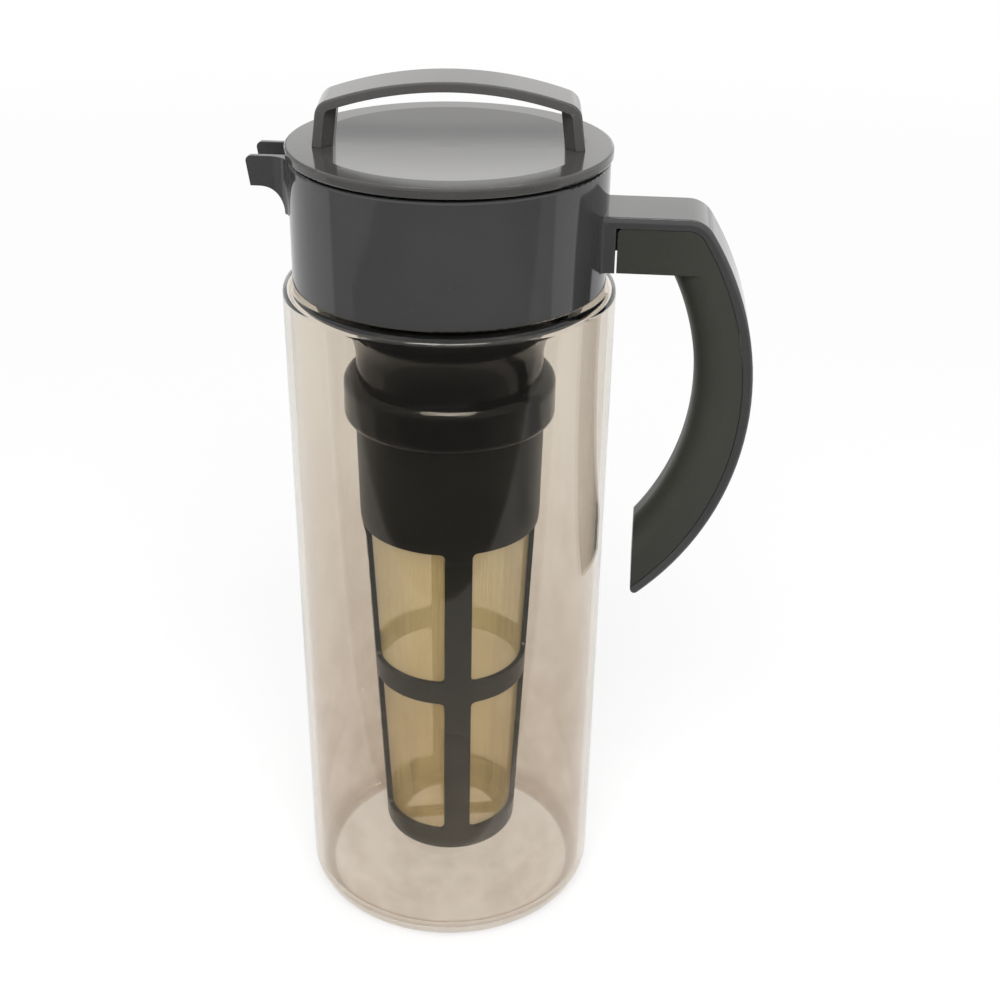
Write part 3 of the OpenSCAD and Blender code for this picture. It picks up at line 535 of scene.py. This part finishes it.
def woven_mesh(name, warp_line, weft_line):
    material, sockets, place = start_finish(name)
    warp = thread(warp_line(place))
    weft = thread(weft_line(place))
    cover = warp.maths("MAXIMUM", warp, weft)
    stain_and_painted_tint = noise(place, TEA_STAIN_SIZE, 3.0, 0.6)
    feed(sockets["Base Color"], blend(cover, THREAD_SIDE_TINT, blend(stain_and_painted_tint, *THREAD_TINTS)))
    feed(sockets["Roughness"], stain_and_painted_tint * STAIN_ROUGHNESS + THREAD_ROUGHNESS)
    feed(sockets["Alpha"], patches(cover, (THREAD_EDGE, OPEN_ALPHA), (THREAD_CORE, 1)))
    feed(sockets["Normal"], relief(warp * 0.5 + weft * 0.5, WEAVE_DEPTH))
    return material


def across(place):
    return axis(place, "X")


def along(place):
    return axis(place, "Y")


def upward(place):
    return axis(place, "Z")


def round_basket(place):
    """The way round the basket, in metres at its widest."""
    return place.maths("ARCTAN2", along(place), across(place)) * mesh_radius


dress(woven_mesh("basket_mesh", round_basket, upward), "infuser_mesh")
dress(woven_mesh("floor_mesh", across, along), "foot_mesh")

# %% [markdown]
# ## Silicone seals
# Four seals sit in the collar, on the stopper, under the socket and on the lid's valve. Silicone is
# matt and slightly dusty, with a soft sheen where it has been squeezed. They hardly show, but they
# do when the stopper is lifted out, so they get a finish too.

# %% Seals
BLOOM_SIZE = 6 * MM
BLOOM_ROUGHNESS = 0.2
SILICONE_ROUGHNESS = 0.55
SILICONE_GRAIN = 0.8 * MM
SILICONE_DEPTH = 0.03 * MM
SILICONE_LEVEL = 0.035
BLOOM_LEVEL = 0.075


def silicone():
    material, sockets, place = start_finish("seal_rubber")
    bloom = noise(place, BLOOM_SIZE, 4.0, 0.65)
    feed(sockets["Base Color"], blend(bloom, shade(SILICONE_LEVEL), shade(BLOOM_LEVEL, WARM)))
    feed(sockets["Roughness"], bloom * BLOOM_ROUGHNESS + SILICONE_ROUGHNESS)
    feed(sockets["Normal"], relief(noise(place, SILICONE_GRAIN), SILICONE_DEPTH))
    return material


dress(silicone(), "rim_seal", "stopper_seal", "socket_washer", "valve_seal")

# %% [markdown]
# ## A white studio
# The pitcher stands on white, and clear plastic shows whatever is behind it, so the white has to
# be there for rays that pass through the jar or bounce off the lid as well as for the camera. The
# floor mixes a plain glow with a plain diffuse white: the glow keeps it white, and the diffuse
# share still takes the pitcher's soft shadow. Farther out the glow takes over, so that no grey
# horizon shows in a low view. Rays that carry light see only the diffuse floor.
# The floor lies a hair above the jar's lowest face: without air between them the jar's foot
# looks wet and light, where an air gap would mirror the dark collar.

# %% Floor
FLOOR_RADIUS = 6.0
FLOOR_SIDES = 96
FLOOR_CONTACT = 0.05 * MM
FLOOR_WHITE = 0.9
FLOOR_GLOW = 0.7
GLOW_START = 0.3
GLOW_FULL = 1.5


def seen_directly(tree):
    """1 for rays that show the backdrop: from the camera, off a gloss or through the jar."""
    path = tree.nodes.new("ShaderNodeLightPath")
    camera_ray = Wire(tree, path.outputs["Is Camera Ray"])
    glossy_ray = Wire(tree, path.outputs["Is Glossy Ray"])
    through_ray = Wire(tree, path.outputs["Is Transmission Ray"])
    return camera_ray.maths("MAXIMUM", camera_ray, glossy_ray.maths("MAXIMUM", glossy_ray, through_ray))


def white_floor():
    material = bpy.data.materials.new("white_floor")
    material.use_nodes = True
    tree = material.node_tree
    bench = Wire(tree)
    matt = bench.node("ShaderNodeBsdfDiffuse", {}, {"Color": shade(FLOOR_WHITE)})
    glow = bench.node("ShaderNodeEmission", {}, {"Color": shade(1), "Strength": 1.0})
    place = bench.node("ShaderNodeTexCoord", output="Object")
    far = fade(length(place), GLOW_FULL, GLOW_START)
    share = seen_directly(tree) * (far * (1 - FLOOR_GLOW) + FLOOR_GLOW)
    mixed = bench.node("ShaderNodeMixShader", {}, {0: share, 1: matt, 2: glow})
    feed(tree.nodes["Material Output"].inputs["Surface"], mixed)
    return material


bpy.ops.mesh.primitive_circle_add(vertices=FLOOR_SIDES, radius=FLOOR_RADIUS, fill_type="NGON",
                                  location=(0, 0, FLOOR_CONTACT))
floor = bpy.context.object
floor.name = "floor"
floor.data.materials.append(white_floor())
print("floor:", FLOOR_RADIUS, "m in radius")

# %% World
WORLD_LIGHT = 0.45
world = bpy.data.worlds.new("studio")
world.use_nodes = True
bpy.context.scene.world = world
backdrop = world.node_tree.nodes["Background"].inputs
feed(backdrop["Color"], shade(1))
feed(backdrop["Strength"], seen_directly(world.node_tree) * (1 - WORLD_LIGHT) + WORLD_LIGHT)
print("world light:", WORLD_LIGHT, "and white where it is seen")

# %% [markdown]
# ## Dim cards in front
# A clear jar in a white room mirrors the white floor in front of it, and that veil hides the black
# stem behind the wall. Photographers lay dark cards between the camera and the glass, just outside
# the picture. Two cards do the same here: a wide grey one that dims the lower jar, and a darker one
# farther out that clears the stem and whose sides draw upright bands on the glossy collar. Only
# mirror images see them, so they take no light away and stay out of every picture.

# %% Cards
def mirrored_only(name, level):
    """A grey that shows in mirror images and is air to all other rays."""
    material = bpy.data.materials.new(name)
    material.use_nodes = True
    tree = material.node_tree
    bench = Wire(tree)
    bounces = bench.node("ShaderNodeLightPath", output="Glossy Depth")
    mirrored = bounces.maths("MINIMUM", bounces, 1.0)
    air = bench.node("ShaderNodeBsdfTransparent")
    grey = bench.node("ShaderNodeEmission", {}, {"Color": shade(level), "Strength": 1.0})
    mixed = bench.node("ShaderNodeMixShader", {}, {0: mirrored, 1: air, 2: grey})
    feed(tree.nodes["Material Output"].inputs["Surface"], mixed)
    return material


def dim_card(name, left, right, near, far, height, level):
    """A grey card on the floor in front of the jar, seen only in mirror images."""
    corners = [(left, -far, height), (right, -far, height), (right, -near, height), (left, -near, height)]
    mesh = bpy.data.meshes.new(name)
    mesh.from_pydata(corners, [], [(0, 1, 2, 3)])
    mesh.materials.append(mirrored_only(name, level))
    card = bpy.data.objects.new(name, mesh)
    card.visible_camera = False
    card.visible_diffuse = False
    card.visible_shadow = False
    bpy.context.scene.collection.objects.link(card)
    print(name, "of level", level)


dim_card("grey_card", left=-1.6, right=1.6, near=0.1, far=2.5, height=0.2 * MM, level=0.45)
dim_card("dark_card", left=-0.68, right=0.95, near=0.31, far=2.0, height=0.4 * MM, level=0.1)

# %% [markdown]
# ## Soft lamps
# Dark gloss is drawn by what it mirrors. Three warm boxes far behind lie as pale bands on the lid,
# the bail and the arm's top, with a gap between two of them for the lid's darker middle. A long
# narrow ceiling lamp puts thin lines on rounded edges. A broad lamp above the camera fills the
# front, but no mirror image shows it. Much of that light is lost in the tinted jar, so a second lamp
# beside it shines only through clear plastic and lifts the mesh. Lamps are set by the brightness of
# their faces, so a box that grows stays as bright as before.

# %% A lamp by the brightness of its face
RAYS = ("diffuse", "glossy", "transmission")
WHITE_LAMP = (1, 1, 1)
WARM_LAMP = (1, 0.985, 0.95)


def soft_box(name, place, target, size, brightness, seen_by=RAYS, tint=WHITE_LAMP):
    """A lamp of a width and height whose face has the given brightness, where 1 is white."""
    width, height = size
    lamp = bpy.data.lights.new(name, "AREA")
    lamp.shape = "RECTANGLE"
    lamp.size = width
    lamp.size_y = height
    lamp.energy = brightness * math.pi * width * height
    lamp.color = tint
    box = bpy.data.objects.new(name, lamp)
    box.location = place
    box.rotation_mode = "QUATERNION"
    box.rotation_quaternion = (Vector(target) - Vector(place)).to_track_quat("-Z", "Y")
    box.visible_camera = False
    for ray in RAYS:
        setattr(box, "visible_" + ray, ray in seen_by)
    bpy.context.scene.collection.objects.link(box)
    print(name, "of", round(lamp.energy, 1), "W")


print("a lamp is seen by these rays if nothing else is said:", ", ".join(RAYS))

# %% Lamps over the pitcher
PANEL = (1.4, 1.0)
middle = (0, 0, jar_high.z / 2)
soft_box("ceiling_lamp", (0.05, 0.75, 2.1), middle, (1.2, 0.16), 14.0)
soft_box("front_lamp", (0.15, -1.2, 1.6), middle, PANEL, 8.0, ("diffuse", "transmission"))
soft_box("inside_lamp", (0.05, -1.15, 1.5), middle, PANEL, 19.0, ("transmission",))

# %% Boxes behind the pitcher
BACK = 1.7


def back_box(name, x, z, size, brightness):
    """A warm box far behind, which faces straight to the front and isn't seen through the jar."""
    soft_box(name, (x, BACK, z), (x, 0, z), size, brightness, ("diffuse", "glossy"), WARM_LAMP)


back_box("low_back_box", -0.6, 0.445, (1.2, 0.69), 0.36)
back_box("high_back_box", -0.6, 1.2, (1.2, 0.56), 0.28)
back_box("arm_box", 0.35, 0.7, (0.7, 0.9), 0.43)

# %% [markdown]
